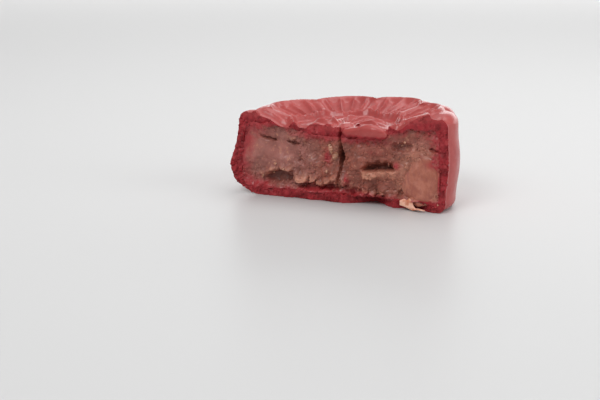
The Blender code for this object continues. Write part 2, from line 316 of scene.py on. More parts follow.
def ring_edge(angle):
    """Radius of the fans' inner ends, which are rounded like their outer ends."""
    return RING_RADIUS + RING_LOBE * 0.5 * (1.0 - math.cos(math.pi * across_fan(angle)))


def fan_height(radius, angle):
    """A fan rises in a lip from the ring, and climbs to its outer end, dished and thinly ribbed."""
    inner = ring_edge(angle)
    climb = (radius - inner) / (fan_edge(angle) - inner)
    side = abs(across_fan(angle))
    length = smoothstep(0.0, 0.22, climb) * smoothstep(0.0, 0.16, 1.0 - climb)
    length *= 1.0 - smoothstep(0.80, 0.98, side)
    rib = fan_rib(radius, angle)
    hollow = 0.45 * MM * 0.5 * (1.0 + math.cos(math.pi * rib))
    relief = VEIN_HEIGHT * bump(rib, 1.0, 0.24) - hollow - DISH * (1.0 - side**2)
    low = RING_HEIGHT + 1.0 * MM + 0.5 * MM * (inner - RING_RADIUS) / RING_LOBE
    lip = LIP_HEIGHT * bump(radius, inner + 1.5 * MM, 0.9 * MM) * (1.0 - 0.5 * smoothstep(0.6, 1.0, side))
    parting = 0.9 * MM * bump(side, 1.0, 0.14) * smoothstep(0.3, 1.0, climb)
    foot = (low - RING_HEIGHT) * (1.0 - smoothstep(0.0, 1.8 * MM, radius - inner))
    return low + (FAN_HEIGHT - low) * climb + relief * length + lip - parting - foot


def stamped_height(radius, angle):
    """Height of the stamped top at a radius and an angle."""
    if radius < flower_edge(angle):
        return flower_height(radius, angle)
    if radius < ring_edge(angle):
        return RING_HEIGHT
    edge = fan_edge(angle)
    if radius < edge:
        return fan_height(radius, angle)
    down = smoothstep(edge, edge + 1.2 * MM, radius)
    return FAN_HEIGHT + (RIM_HEIGHT - FAN_HEIGHT) * down - RIM_DROP * lobe_groove(angle) * down


# %% Press the crust
# Each dent of the skin's edge at the break: where along it, reach and depth, in mm.
DENTS = ((-20.3, 3.0, 1.5), (-12.6, 1.8, 0.5), (-6.0, 2.2, 0.5), (19.2, 2.4, 0.9), (33.0, 2.0, 0.4))


def dent(point):
    """How far the skin is pulled down at a place near the break."""
    near_break = bump(point.y, BREAK, 4.5 * MM)
    pulled = sum(deep * MM * bump(point.x, u * MM, reach * MM) for u, reach, deep in DENTS) * near_break
    return pulled + 0.55 * MM * bump(point.y, BREAK - 0.6 * MM, 1.5 * MM)


def press(point):
    """Where a point of the turned disc lies once it is pressed and squeezed."""
    radius = math.hypot(point.x, point.y)
    angle = math.atan2(point.y, point.x)
    wobble = noise.noise(point / (11.0 * MM))
    placed = radius
    height = point.z
    if point.z > RIM_HEIGHT - 0.01 * MM:
        twist = 0.05 * noise.noise(point / (9.0 * MM))
        height = stamped_height(radius, angle + twist) + 0.25 * MM * wobble - dent(point)
    else:
        groove = lobe_groove(angle)
        placed -= LOBE_DEPTH * groove * smoothstep(RIM_RADIUS, END_RADIUS, radius)
        placed += 0.22 * MM * wobble
        height -= RIM_DROP * groove * smoothstep(RIM_HEIGHT - SHOULDER, RIM_HEIGHT, point.z)
    shrink = placed / radius if radius > 0.0 else 1.0
    return slump(Vector((point.x * shrink, point.y * shrink, height)))


# %% [markdown]
# ## The break
# A snapped cake has a rough face that runs through everything. Each broken surface is a depth over
# the face, u along it and z up it. A slow wander is shared by all, then each material breaks in its
# own way: the crust tears in coarse grains, and the moist paste parts in lumps, ledges and pits.

# %% The torn crust and the paste's break
FACE_WAVE = 0.9 * MM


def grain(u, z, size, seed):
    """Smooth noise between -1 and 1 over the broken face."""
    return noise.noise(Vector((u / size, seed, z / size)))


def face_depth(u, z):
    """The slow wander of the break, the same as in the fixed model."""
    return BREAK + 2.0 * FACE_WAVE * grain(u, z, 16.0 * MM, 3.7)


def lumps(u, z, size, seed):
    """Broken lumps from 0 to 1: each stands at its own depth, with a soft crevice between neighbours."""
    bend_u = u + 0.6 * size * grain(u, z, size, seed + 1.0)
    bend_z = z + 0.6 * size * grain(u, z, size, seed + 2.0)
    gaps, middles = noise.voronoi(Vector((bend_u / size, seed, bend_z / size)))
    crevice = 1.0 - smoothstep(0.0, 0.45, gaps[1] - gaps[0])
    return 0.5 + 0.5 * noise.noise(middles[0] * 3.1) + 0.30 * crevice


FLAP_LEFT = 0.4 * MM
FLAP_RIGHT = 15.8 * MM


def flap_top(u):
    """Height of the upper edge of the bent flap."""
    along = (u - FLAP_LEFT) / (FLAP_RIGHT - FLAP_LEFT)
    return (25.1 + 1.7 * bump(along, 0.64, 0.30) + 0.2 * grain(u, 0.0, 2.5 * MM, 19.0)) * MM


def crust_break(u, z):
    """The torn crust: coarse crumbs, a gap over the flap, a notch at the crack, a crumbled base."""
    depth = face_depth(u, z) + 0.7 * MM * grain(u, z, 4.5 * MM, 3.0)
    rough = 1.0 - 0.75 * smoothstep(24.5 * MM, 27.5 * MM, z)
    clumps = 0.8 * MM * lumps(u, z, 3.2 * MM, 0.0) + 0.4 * MM * lumps(u, z, 1.3 * MM, 5.0) - 0.7 * MM
    depth += rough * clumps
    depth += rough * 0.15 * MM * grain(u, z, 0.7 * MM, 9.0)
    if FLAP_LEFT < u < FLAP_RIGHT:
        depth += 2.0 * MM * bump(z, flap_top(u) + 0.35 * MM, 0.35 * MM)
    crease = smoothstep(33.0 * MM, 36.0 * MM, -u) * bump(grain(u, z, 2.2 * MM, 15.0), 0.0, 0.16)
    depth += 0.5 * MM * crease
    notch_middle = -0.9 * MM + 0.6 * MM * grain(0.0, z, 2.0 * MM, 13.0)
    depth += 1.8 * MM * bump(u, notch_middle, 0.42 * MM) * smoothstep(18.0 * MM, 20.0 * MM, z)
    lost = 6.0 * MM * bump(u, 10.0 * MM, 4.8 * MM) + 4.0 * MM * bump(u, 24.5 * MM, 4.2 * MM)
    ragged_top = (2.4 + 0.8 * grain(u, 0.0, 1.8 * MM, 17.0)) * MM
    return depth + lost * (1.0 - smoothstep(ragged_top - 0.5 * MM, ragged_top + 0.7 * MM, z))


# %% Pits, flakes and the crack
# Each pit: middle u and z, half width, half height, depth, slope; the lengths in mm.
PITS = (
    (-26.4, 19.6, 3.0, 0.65, 1.5, -0.30),
    (-17.6, 18.4, 2.2, 0.55, 1.4, -0.10),
    (-22.8, 6.6, 5.4, 2.2, 2.8, 0.12),
    (-14.0, 12.3, 1.2, 0.9, 0.9, 0.00),
    (-9.2, 4.4, 7.5, 1.0, 2.0, 0.02),
    (20.2, 19.9, 3.4, 1.4, 1.8, -0.05),
    (30.2, 19.5, 1.4, 0.6, 1.4, -0.20),
    (4.6, 4.0, 2.0, 1.2, 1.3, 0.00),
    (20.6, 5.0, 1.5, 1.2, 1.2, 0.30),
)
# Each flake, which hangs over what is below it: tip u and z, half width, length up, lift, paleness.
FLAKES = (
    (-28.2, 6.2, 2.2, 2.8, 0.6, 0.6),
    (-24.6, 8.0, 1.6, 2.6, 0.8, 0.8),
    (-19.6, 8.4, 2.4, 2.8, 1.0, 0.7),
    (-14.4, 5.4, 2.5, 4.4, 1.7, 1.2),
    (-10.4, 5.7, 1.3, 3.2, 1.1, 0.8),
    (-7.6, 4.2, 1.3, 3.4, 1.4, 1.0),
    (-5.2, 5.6, 1.2, 3.0, 1.1, 0.8),
    (-2.9, 6.8, 1.2, 3.0, 0.9, 0.6),
    (-0.6, 5.4, 1.0, 2.6, 1.2, 0.5),
    (1.2, 5.6, 1.3, 4.6, 1.4, 0.5),
    (7.9, 3.0, 1.1, 2.4, 0.9, 0.8),
    (10.6, 3.0, 1.2, 2.6, 1.0, 0.8),
    (13.4, 3.5, 1.5, 2.6, 1.0, 0.5),
    (9.8, 8.6, 2.0, 2.6, 0.9, 0.7),
    (-17.8, 19.4, 2.0, 1.6, 0.4, 0.4),
)
CRACK_FOOT = 5.0 * MM


def flake_relief(u, z):
    """The lift of the flakes, and how pale they make the paste, at one place of the face."""
    lift, paleness = 0.0, 0.0
    for tip_u, tip_z, wide, long, high, pale in FLAKES:
        off = u / MM - tip_u + 0.7 * grain(u, z, 1.3 * MM, 61.0)
        across = abs(off) / wide
        if across > 1.5:
            continue
        tip = tip_z + 0.9 * across**1.3 + 0.9 * grain(u, tip_u * MM, 1.1 * MM, 63.0) * across
        up = z / MM - tip
        body = smoothstep(-0.22, 0.12, up) * (1.0 - smoothstep(0.15 * long, long, up))
        body *= 1.0 - smoothstep(0.65, 1.25, across)
        lift = max(lift, 1.15 * high * MM * body)
        paleness = max(paleness, pale * body * (1.0 - smoothstep(0.2 * long, 0.95 * long, up)))
    return lift, paleness


def above_shelf(u, z):
    """The height of a place over the top edge of the pale ledge."""
    return z - (11.4 + 0.07 * (u / MM - 13.0) + 0.3 * grain(u, 0.0, 1.5 * MM, 65.0)) * MM


def shelf(u, z):
    """The pale ledge under the right pit: 1 on it, 0 away from it."""
    up = above_shelf(u, z)
    along = 1.0 - smoothstep(4.6 * MM, 6.4 * MM, abs(u - 12.8 * MM))
    return along * (1.0 - smoothstep(0.0, 0.4 * MM, up)) * smoothstep(-3.4 * MM, -0.4 * MM, up)


def hollow_over_shelf(u, z):
    """The pit over the ledge: deepest at the ledge, and shallower upwards."""
    up = above_shelf(u, z) + 0.7 * MM * grain(u, z, 1.6 * MM, 67.0)
    away = abs(u - 12.6 * MM) + 0.8 * MM * grain(u, z, 1.4 * MM, 69.0)
    along = 1.0 - smoothstep(3.2 * MM, 5.6 * MM, away)
    over_ledge = smoothstep(0.1 * MM, 0.5 * MM, up)
    return 3.2 * MM * along * over_ledge * (1.0 - smoothstep(0.8 * MM, 3.6 * MM, up))


def crack_depth(u, z):
    """How deep the crack down the middle is: narrow at both ends and widest at mid height."""
    middle = -0.3 * MM - 0.9 * MM * smoothstep(17.0 * MM, 24.0 * MM, z)
    middle -= 0.9 * MM * smoothstep(-12.0 * MM, -5.0 * MM, -z)
    middle += 0.35 * MM * grain(0.0, z, 2.5 * MM, 21.0)
    wide = bump(z, 15.2 * MM, 2.6 * MM)
    half_width = (0.20 + 0.50 * wide) * MM * (1.0 + 0.5 * grain(u, z, 1.6 * MM, 23.0))
    inside = 1.0 - smoothstep(half_width, half_width + 0.35 * MM, abs(u - middle))
    deep = (1.7 + 2.8 * wide) * MM * inside
    return deep * smoothstep(CRACK_FOOT - 1.5 * MM, CRACK_FOOT + 2.0 * MM, z)


def pit_depth(u, z):
    """The depth of all pits together, with ragged edges."""
    ragged_u = u + 0.9 * MM * grain(u, z, 1.7 * MM, 31.0)
    ragged_z = z + 0.6 * MM * grain(u, z, 1.3 * MM, 37.0)
    total = 0.0
    for pit_u, pit_z, wide, high, deep, slope in PITS:
        off_u = (ragged_u / MM - pit_u) / wide
        off_z = (ragged_z / MM - pit_z - slope * (ragged_u / MM - pit_u)) / high
        total += deep * MM * (1.0 - smoothstep(0.30, 1.6, off_u**2 + off_z**2))
    return total


# %% How near the crust is
WALL = 2.3 * MM
BASE = 2.7 * MM
CORE_RIM = 25.6 * MM
CORE_SAG = 4.0 * MM
CORE_ROUNDING = 4.0 * MM


def inside_paste(u, z):
    """How far a place of the face lies inside the paste's outline; negative in the crust."""
    radius = math.hypot(u, BREAK)
    left = smoothstep(0.0, RADIUS, -u)
    top = CORE_RIM - CORE_SAG * (1.0 - smoothstep(6.0 * MM, 27.0 * MM, radius))
    top *= 1.0 + SLOPE * u / RADIUS
    side = half_chord - WALL - abs(u) + left * splay(z)
    return min(top - z, 1.4 * (z - BASE), side)


def crust_nearness(u, z, reach=2.6 * MM):
    """1 at the paste's outline in the face, 0 a few mm inside it."""
    ragged = inside_paste(u, z) + 1.6 * MM * grain(u, z, 2.2 * MM, 71.0)
    return 1.0 - smoothstep(0.0, reach, ragged)


# %% The paste's broken face
NUT_MIDDLE = Vector((27.0, 0.0, 9.6)) * MM
NUT_HALF = Vector((6.9, 8.0, 8.0)) * MM


def nut_share(u, z):
    """1 in the middle of the nut's patch of the face, 0 at its edge, below 0 outside."""
    edge = 1.0 + 0.14 * grain(u, z, 3.6 * MM, 41.0)
    off = Vector(((u - NUT_MIDDLE.x) / NUT_HALF.x, (z - NUT_MIDDLE.z) / NUT_HALF.z)).length
    return edge - off


def crumbliness(u, z):
    """How rough the paste is: smooth at the upper left, coarse near the pits and the crack."""
    smooth_left = bump(u, -26.0 * MM, 10.0 * MM) * bump(z, 15.0 * MM, 7.0 * MM)
    coarse = bump(u, -2.0 * MM, 9.0 * MM) + bump(z, 5.0 * MM, 3.5 * MM)
    return max(0.2, 0.75 - 0.55 * smooth_left + 0.35 * coarse)


def fine_relief(u, z):
    """Small lumps of the broken paste, with narrow crevices between them."""
    relief = 0.80 * (lumps(u, z, 2.6 * MM, 51.0) - 0.5) + 0.50 * (lumps(u, z, 1.3 * MM, 55.0) - 0.5)
    relief += 0.28 * (lumps(u, z, 0.75 * MM, 57.0) - 0.5) + 0.16 * grain(u, z, 0.5 * MM, 59.0)
    return crumbliness(u, z) * MM * relief


def paste_break(u, z):
    """The broken paste: soft lumps, flakes, a ledge, pits and the crack."""
    lift, _ = flake_relief(u, z)
    depth = face_depth(u, z) + 0.7 * MM * (1.0 - crust_nearness(u, z))
    depth += 1.2 * MM * grain(u, z, 6.0 * MM, 1.3) + 0.6 * MM * grain(u, z, 2.7 * MM, 1.3)
    depth += fine_relief(u, z) - lift - 1.1 * MM * shelf(u, z)
    depth += 2.0 * MM * smoothstep(0.12, 0.50, nut_share(u, z))
    depth += pit_depth(u, z) * (1.0 - shelf(u, z)) + hollow_over_shelf(u, z)
    return depth + crack_depth(u, z)


# %% [markdown]
# A cutter for the break is a standing sheet of fine cells, pushed to the depths above and then
# extruded out of the cake on the near side. Cutting with it leaves its relief on the piece, and its
# material too, so the torn face gets its own finish from the cut itself.

# %% Make a break cutter and cut with it
FACE_LOW = -2.0 * MM
FACE_HIGH = 34.0 * MM
FACE_HALF = 42.0 * MM
SPARE = 5.0 * MM  # left in front of the break for the cutter to take off


def break_cutter(name, rule, cell, finish):
    """A block in front of the break, its back pushed to a rule's depths."""
    bpy.ops.object.select_all(action="DESELECT")
    columns = round(2.0 * FACE_HALF / cell)
    rows = round((FACE_HIGH - FACE_LOW) / cell)
    bpy.ops.mesh.primitive_grid_add(x_subdivisions=columns, y_subdivisions=rows, size=2.0)
    cutter = bpy.context.object
    cutter.name = name
    middle = (FACE_HIGH + FACE_LOW) / 2.0
    half = (FACE_HIGH - FACE_LOW) / 2.0
    for vertex in cutter.data.vertices:
        u = vertex.co.x * FACE_HALF
        z = middle + vertex.co.y * half
        vertex.co = Vector((u, rule(u, z), z))
    bpy.ops.object.mode_set(mode="EDIT")
    bpy.ops.mesh.select_all(action="SELECT")
    bpy.ops.mesh.extrude_region_move(TRANSFORM_OT_translate={"value": (0.0, -50.0 * MM, 0.0)})
    bpy.ops.mesh.select_all(action="SELECT")
    bpy.ops.mesh.normals_make_consistent(inside=False)
    bpy.ops.object.mode_set(mode="OBJECT")
    cutter.data.materials.append(finish)
    print(name, "has", len(cutter.data.polygons), "faces")
    return cutter


def carve(thing, cutter):
    """Cuts one solid out of another and throws the cutter away."""
    step = thing.modifiers.new("carve", "BOOLEAN")
    step.operation = "DIFFERENCE"
    step.solver = "EXACT"
    step.material_mode = "TRANSFER"
    step.object = cutter
    apply_step(thing, step)
    bpy.data.objects.remove(cutter)


def halve(thing, depth):
    """Bisects a turned disc and keeps the far side, closed with a flat face."""
    only(thing)
    bpy.ops.object.mode_set(mode="EDIT")
    bpy.ops.mesh.select_all(action="SELECT")
    bpy.ops.mesh.bisect(
        plane_co=(0.0, depth, 0.0), plane_no=(0.0, 1.0, 0.0), use_fill=True, clear_inner=True
    )
    bpy.ops.object.mode_set(mode="OBJECT")


# %% [markdown]
# ## Finishes
# Crust, torn crust, paste and nut each get a procedural finish. Pastry skin is satin with a soft,
# uneven gloss from its glaze, and slow changes of tone. A torn crust is deeper and more saturated, as
# it has no dry skin. Moist paste mixes browns in patches. All patterns read Object coordinates, so
# they stay put when a piece is seen from another side.

# %% Node helpers
def start_finish(name, roughness):
    """A material with a Principled shader, and its Object coordinates."""
    finish = bpy.data.materials.new(name)
    finish.use_nodes = True
    tree = finish.node_tree
    shader = tree.nodes["Principled BSDF"]
    shader.inputs["Roughness"].default_value = roughness
    place = tree.nodes.new("ShaderNodeTexCoord").outputs["Object"]
    return finish, tree, shader, place


def speckle(tree, place, size, detail=3.0, roughness=0.55):
    """A noise pattern with features of about one size, from 0 to 1."""
    node = tree.nodes.new("ShaderNodeTexNoise")
    node.inputs["Scale"].default_value = 1.0 / size
    node.inputs["Detail"].default_value = detail
    node.inputs["Roughness"].default_value = roughness
    tree.links.new(place, node.inputs["Vector"])
    return node.outputs["Fac"]


def spread(tree, value, low, high, to_low=0.0, to_high=1.0):
    """Maps a range of a pattern to another range, and clips it there."""
    node = tree.nodes.new("ShaderNodeMapRange")
    node.interpolation_type = "SMOOTHSTEP"
    node.inputs["From Min"].default_value = low
    node.inputs["From Max"].default_value = high
    node.inputs["To Min"].default_value = to_low
    node.inputs["To Max"].default_value = to_high
    tree.links.new(value, node.inputs["Value"])
    return node.outputs["Result"]


def blend_colours(tree, share, first, second):
    """Mixes two colours, or the output of an earlier mix and a colour."""
    node = tree.nodes.new("ShaderNodeMix")
    node.data_type = "RGBA"
    tree.links.new(share, node.inputs["Factor"])
    for colour, socket in ((first, node.inputs[6]), (second, node.inputs[7])):
        if isinstance(colour, tuple):
            socket.default_value = (*colour, 1.0)
        else:
            tree.links.new(colour, socket)
    return node.outputs[2]


def raise_bump(tree, shader, value, height, strength=1.0):
    """Adds fine relief under a surface."""
    node = tree.nodes.new("ShaderNodeBump")
    node.inputs["Strength"].default_value = strength
    node.inputs["Distance"].default_value = height
    tree.links.new(value, node.inputs["Height"])
    tree.links.new(node.outputs["Normal"], shader.inputs["Normal"])


def painted(tree, name):
    """A value that was painted on the mesh's points."""
    node = tree.nodes.new("ShaderNodeAttribute")
    node.attribute_name = name
    return node.outputs["Fac"]


def soften_inside(shader, colour):
    """A little light passes under the surface of food."""
    shader.inputs["Subsurface Weight"].default_value = 0.12
    shader.inputs["Subsurface Scale"].default_value = 1.5 * MM
    shader.inputs["Subsurface Radius"].default_value = colour


# %% Pastry skin
SKIN_RED = (0.42, 0.056, 0.051)
SKIN_DEEP = (0.36, 0.040, 0.037)
SKIN_PALE = (0.48, 0.088, 0.078)


def make_skin():
    finish, tree, shader, place = start_finish("pastry skin", 0.42)
    patches = spread(tree, speckle(tree, place, 9.0 * MM), 0.40, 0.66)
    mottle = spread(tree, speckle(tree, place, 1.6 * MM, 4.0), 0.45, 0.75, 0.0, 0.45)
    colour = blend_colours(tree, patches, SKIN_RED, SKIN_DEEP)
    colour = blend_colours(tree, mottle, colour, SKIN_PALE)
    tree.links.new(colour, shader.inputs["Base Color"])
    gloss = spread(tree, speckle(tree, place, 4.0 * MM), 0.35, 0.70, 0.40, 0.58)
    tree.links.new(gloss, shader.inputs["Roughness"])
    shader.inputs["Specular IOR Level"].default_value = 0.35
    shader.inputs["Coat Weight"].default_value = 0.50
    shader.inputs["Coat Roughness"].default_value = 0.22
    raise_bump(tree, shader, speckle(tree, place, 0.9 * MM, 4.0), 0.05 * MM, 0.5)
    soften_inside(shader, (1.0, 0.25, 0.2))
    return finish


pastry_skin = make_skin()

# %% Torn crust
TORN_RED = (0.36, 0.022, 0.030)
TORN_DARK = (0.22, 0.009, 0.013)
TORN_LIGHT = (0.46, 0.062, 0.062)


def make_torn():
    finish, tree, shader, place = start_finish("torn crust", 0.55)
    shade = spread(tree, speckle(tree, place, 2.6 * MM, 4.0), 0.38, 0.58)
    light = spread(tree, speckle(tree, place, 1.5 * MM, 3.0), 0.54, 0.70, 0.0, 0.6)
    # lighter towards the skin; held dark low in the base, which is painted shade
    outer = spread(tree, painted(tree, "outer"), 0.0, 1.0, 0.0, 0.55)
    colour = blend_colours(tree, shade, TORN_DARK, TORN_RED)
    colour = blend_colours(tree, outer, colour, TORN_LIGHT)
    colour = blend_colours(tree, light, colour, TORN_LIGHT)
    tree.links.new(colour, shader.inputs["Base Color"])
    shader.inputs["Specular IOR Level"].default_value = 0.35
    raise_bump(tree, shader, speckle(tree, place, 0.5 * MM, 4.0), 0.12 * MM, 0.5)
    soften_inside(shader, (1.0, 0.2, 0.2))
    return finish


torn_crust = make_torn()

# %% Bean paste
PASTE_BROWN = (0.355, 0.099, 0.066)
PASTE_MAUVE = (0.40, 0.146, 0.120)
# PASTE_DARK darkens random patches, and is also the colour of the painted shade in pits and crevices
PASTE_DARK = (0.16, 0.045, 0.030)
PASTE_PEACH = (0.60, 0.255, 0.170)
STAIN_RED = (0.40, 0.036, 0.042)


def make_paste():
    finish, tree, shader, place = start_finish("bean paste", 0.50)
    patches = spread(tree, speckle(tree, place, 6.0 * MM, 3.0), 0.42, 0.60)
    # the mauve value also carries one painted highlight on a lobe
    colour = blend_colours(tree, painted(tree, "mauve"), PASTE_BROWN, PASTE_MAUVE)
    colour = blend_colours(tree, spread(tree, patches, 0.0, 1.0, 0.0, 0.35), colour, PASTE_DARK)
    bits = spread(tree, speckle(tree, place, 1.2 * MM, 4.0), 0.56, 0.70, 0.0, 0.75)
    colour = blend_colours(tree, bits, colour, PASTE_PEACH)
    colour = blend_colours(tree, painted(tree, "peach"), colour, PASTE_PEACH)
    # painted shade: the deep value darkens the paste in its pits and crevices
    colour = blend_colours(tree, painted(tree, "deep"), colour, PASTE_DARK)
    colour = blend_colours(tree, painted(tree, "stain"), colour, STAIN_RED)
    tree.links.new(colour, shader.inputs["Base Color"])
    gloss = spread(tree, speckle(tree, place, 1.8 * MM, 3.0), 0.35, 0.65, 0.34, 0.62)
    tree.links.new(gloss, shader.inputs["Roughness"])
    raise_bump(tree, shader, speckle(tree, place, 0.55 * MM, 4.0), 0.10 * MM, 0.5)
    soften_inside(shader, (1.0, 0.4, 0.3))
    return finish


bean_paste = make_paste()

# %% Nut
NUT_PEACH = (0.40, 0.122, 0.076)
NUT_PALE = (0.49, 0.172, 0.114)
NUT_ROSE = (0.33, 0.090, 0.070)


def make_nut():
    finish, tree, shader, place = start_finish("nut flesh", 0.42)
    patches = spread(tree, speckle(tree, place, 5.0 * MM, 5.0, 0.65), 0.42, 0.60)
    streaks = tree.nodes.new("ShaderNodeMapping")
    streaks.inputs["Scale"].default_value = (1.0, 1.0, 0.35)
    streaks.inputs["Rotation"].default_value = (0.0, math.radians(-25.0), 0.0)
    tree.links.new(place, streaks.inputs["Vector"])
    mottle = spread(tree, speckle(tree, streaks.outputs["Vector"], 1.1 * MM, 4.0), 0.46, 0.68, 0.0, 0.7)
    colour = blend_colours(tree, patches, NUT_PEACH, NUT_PALE)
    colour = blend_colours(tree, mottle, colour, NUT_ROSE)
    colour = blend_colours(tree, painted(tree, "stain"), colour, STAIN_RED)
    # painted shade: the deep value darkens the nut's rim where it meets the paste
    colour = blend_colours(tree, painted(tree, "deep"), colour, PASTE_DARK)
    tree.links.new(colour, shader.inputs["Base Color"])
    gloss = spread(tree, speckle(tree, place, 2.0 * MM, 3.0), 0.35, 0.65, 0.30, 0.52)
    tree.links.new(gloss, shader.inputs["Roughness"])
    raise_bump(tree, shader, speckle(tree, place, 0.8 * MM, 3.0), 0.06 * MM, 0.4)
    soften_inside(shader, (1.0, 0.5, 0.35))
    return finish


nut_flesh = make_nut()

# %% Nut flake
FLAKE_ORANGE = (0.95, 0.52, 0.38)
FLAKE_DEEP = (0.66, 0.22, 0.12)


def make_flake():
    finish, tree, shader, place = start_finish("nut flake", 0.32)
    patches = spread(tree, speckle(tree, place, 2.0 * MM, 3.0), 0.40, 0.66)
    tree.links.new(blend_colours(tree, patches, FLAKE_ORANGE, FLAKE_DEEP), shader.inputs["Base Color"])
    raise_bump(tree, shader, speckle(tree, place, 0.7 * MM, 3.0), 0.05 * MM, 0.4)
    soften_inside(shader, (1.0, 0.5, 0.3))
    return finish


flake_flesh = make_flake()


# %% Pale nut, also used for painted glints
NUT_CREAM = (0.66, 0.38, 0.26)
NUT_TAN = (0.52, 0.22, 0.14)


def make_pale_nut():
    finish, tree, shader, place = start_finish("pale nut", 0.38)
    patches = spread(tree, speckle(tree, place, 0.8 * MM, 2.0), 0.40, 0.60)
    tree.links.new(blend_colours(tree, patches, NUT_CREAM, NUT_TAN), shader.inputs["Base Color"])
    soften_inside(shader, (1.0, 0.6, 0.4))
    return finish


pale_nut_and_glints = make_pale_nut()
print("finishes:", [made.name for made in bpy.data.materials])


# %% [markdown]
# ## The crust
# The crust starts as a fine turned disc. Its points are pressed by the mould's formulas, the front is
# bisected away, the paste's room is cut out, and last the break is cut through it.

# %% Outline of the disc
def crust_outline():
    """The disc's section from the middle of its top, down the wall, to the middle of its base."""
    top = [(RIM_RADIUS * k / 84, RIM_HEIGHT) for k in range(84)]
    shoulder = arc((RIM_RADIUS, RIM_HEIGHT - SHOULDER), SHOULDER, 90.0, 0.0, 10)
    wall = []
    for k in range(1, 24):
        share = k / 24.0
        bow = BARREL * math.sin(math.pi * share) ** 2
        height = RIM_HEIGHT - SHOULDER + (FOOT - RIM_HEIGHT + SHOULDER) * share
        wall.append((END_RADIUS + bow, height))
    foot = arc((END_RADIUS - FOOT, FOOT), FOOT, 0.0, -90.0, 6)
    base = [(END_RADIUS * k / 8, 0.0) for k in range(7, -1, -1)]
    return top + shoulder + wall + foot + base


# %% The paste's room
def core_outline(grow):
    """The section of the room inside the crust, larger all round by grow."""
    edge = END_RADIUS - WALL + grow
    flat = edge - CORE_ROUNDING
    top = [(flat * k / 24, CORE_RIM + grow) for k in range(24)]
    shoulder = arc((flat, CORE_RIM + grow - CORE_ROUNDING), CORE_ROUNDING, 90.0, 0.0, 7)
    foot = arc((edge - 2.0 * MM, BASE - grow + 2.0 * MM), 2.0 * MM, 0.0, -90.0, 4)
    base = [(edge * k / 5, BASE - grow) for k in range(4, -1, -1)]
    return top + shoulder + foot + base


def press_core(point):
    """The paste follows the lobes a little, sags under the stamp, and is lumpy."""
    radius = math.hypot(point.x, point.y)
    angle = math.atan2(point.y, point.x)
    inside = radius - 0.5 * LOBE_DEPTH * lobe_groove(angle) * smoothstep(20.0 * MM, RADIUS, radius)
    high = smoothstep(0.6 * CORE_RIM, CORE_RIM, point.z)
    sag = CORE_SAG * high * (1.0 - smoothstep(6.0 * MM, 27.0 * MM, radius))
    shrink = inside / radius if radius > 0.0 else 1.0
    uneven = 0.9 * MM * noise.noise_vector(point / (3.0 * MM))
    uneven += 0.35 * MM * noise.noise_vector(point / (1.2 * MM))
    return slump(Vector((point.x * shrink, point.y * shrink, point.z - sag)) + uneven)


# %% Make the crust
CRUST_STEPS = 480
CORE_STEPS = 240
CRUST_CELL = 0.32 * MM
PASTE_CELL = 0.26 * MM
crust = turned("mooncake_crust", crust_outline(), CRUST_STEPS)
crust.data.materials.append(pastry_skin)
reshape(crust, press)
halve(crust, BREAK - SPARE)
room = turned("room", core_outline(-0.2 * MM), CORE_STEPS)
room.data.materials.append(torn_crust)
reshape(room, press_core)
carve(crust, room)
carve(crust, break_cutter("crust cutter", crust_break, CRUST_CELL, torn_crust))


# %% [markdown]
# ## Crumbs
# Loose crumbs cling to every broken surface. One small rough ball is copied to random places on it,
# turned and stretched each time, and all the copies are one mesh. A place is found by looking straight
# at the break from in front: it then depends on the shape alone, and not on the order in which a cut
# happens to number the faces, so every run strews the same crumbs.

# %% Strew crumbs over a broken surface
IN_FRONT = -60.0 * MM
ABOVE_TABLE = 0.6 * MM  # no crumb starts lower than this
INWARD = Vector((0.0, 1.0, 0.0))
random.seed(8)
bpy.ops.object.select_all(action="DESELECT")
bpy.ops.mesh.primitive_uv_sphere_add(segments=8, ring_count=5, radius=1.0)
crumb = bpy.context.object
crumb.name = "crumb"
reshape(crumb, lambda point: point * (1.0 + 0.45 * noise.noise(point * 1.3 + Vector((5.0, 0.0, 0.0)))))


def random_turn():
    """A turn to any side."""
    return Euler([random.uniform(0.0, math.tau) for _ in range(3)])


def joined_copies(name, shape, places, finish):
    """One mesh of a shape copied to every place."""
    heap = bmesh.new()
    for place in places:
        copied = shape.data.copy()
        copied.transform(place)
        heap.from_mesh(copied)
        bpy.data.meshes.remove(copied)
    made = bpy.data.objects.new(name, bpy.data.meshes.new(name))
    bpy.context.scene.collection.objects.link(made)
    heap.to_mesh(made.data)
    heap.free()
    made.data.materials.append(finish)
    return made


def strew(name, surface, wanted, count, low, high, finish):
    """Crumbs between two sizes on the wanted faces of a surface's front, half sunk in it."""
    bpy.context.view_layer.update()
    places = []
    while len(places) < count:
        u = random.uniform(-FACE_HALF, FACE_HALF)
        z = random.uniform(ABOVE_TABLE, FACE_HIGH)
        hit, spot, normal, index = surface.ray_cast(Vector((u, IN_FRONT, z)), INWARD)
        if not hit or not wanted(surface.data.polygons[index]):
            continue
        size = low + (high - low) * random.random() ** 2.5
        shape = Vector((random.uniform(0.7, 1.3), random.uniform(0.6, 1.0), random.uniform(0.7, 1.2)))
        turn = random_turn()
        sunk = spot + normal * size * random.uniform(-0.2, 0.35)
        places.append(Matrix.LocRotScale(sunk, turn, shape * size))
    return joined_copies(name, crumb, places, finish)


# %% Crumbs of the torn crust
def torn_face(face):
    """Whether a face of the crust is on its torn front."""
    return face.material_index > 0 and face.normal.y < 0.3 and face.center.y < BREAK + 3.5 * MM


def outerness_and_base_shade(point):
    """How near a place of the torn crust is to the skin: 1 at it, 0 at the paste; held low in the base, a
    painted shade there.
    """
    outside = 0.5 * MM * grain(point.x, point.z, 1.8 * MM, 33.0) - inside_paste(point.x, point.z)
    return smoothstep(0.6 * MM, 3.2 * MM, outside) * smoothstep(2.0 * MM, 8.0 * MM, point.z)


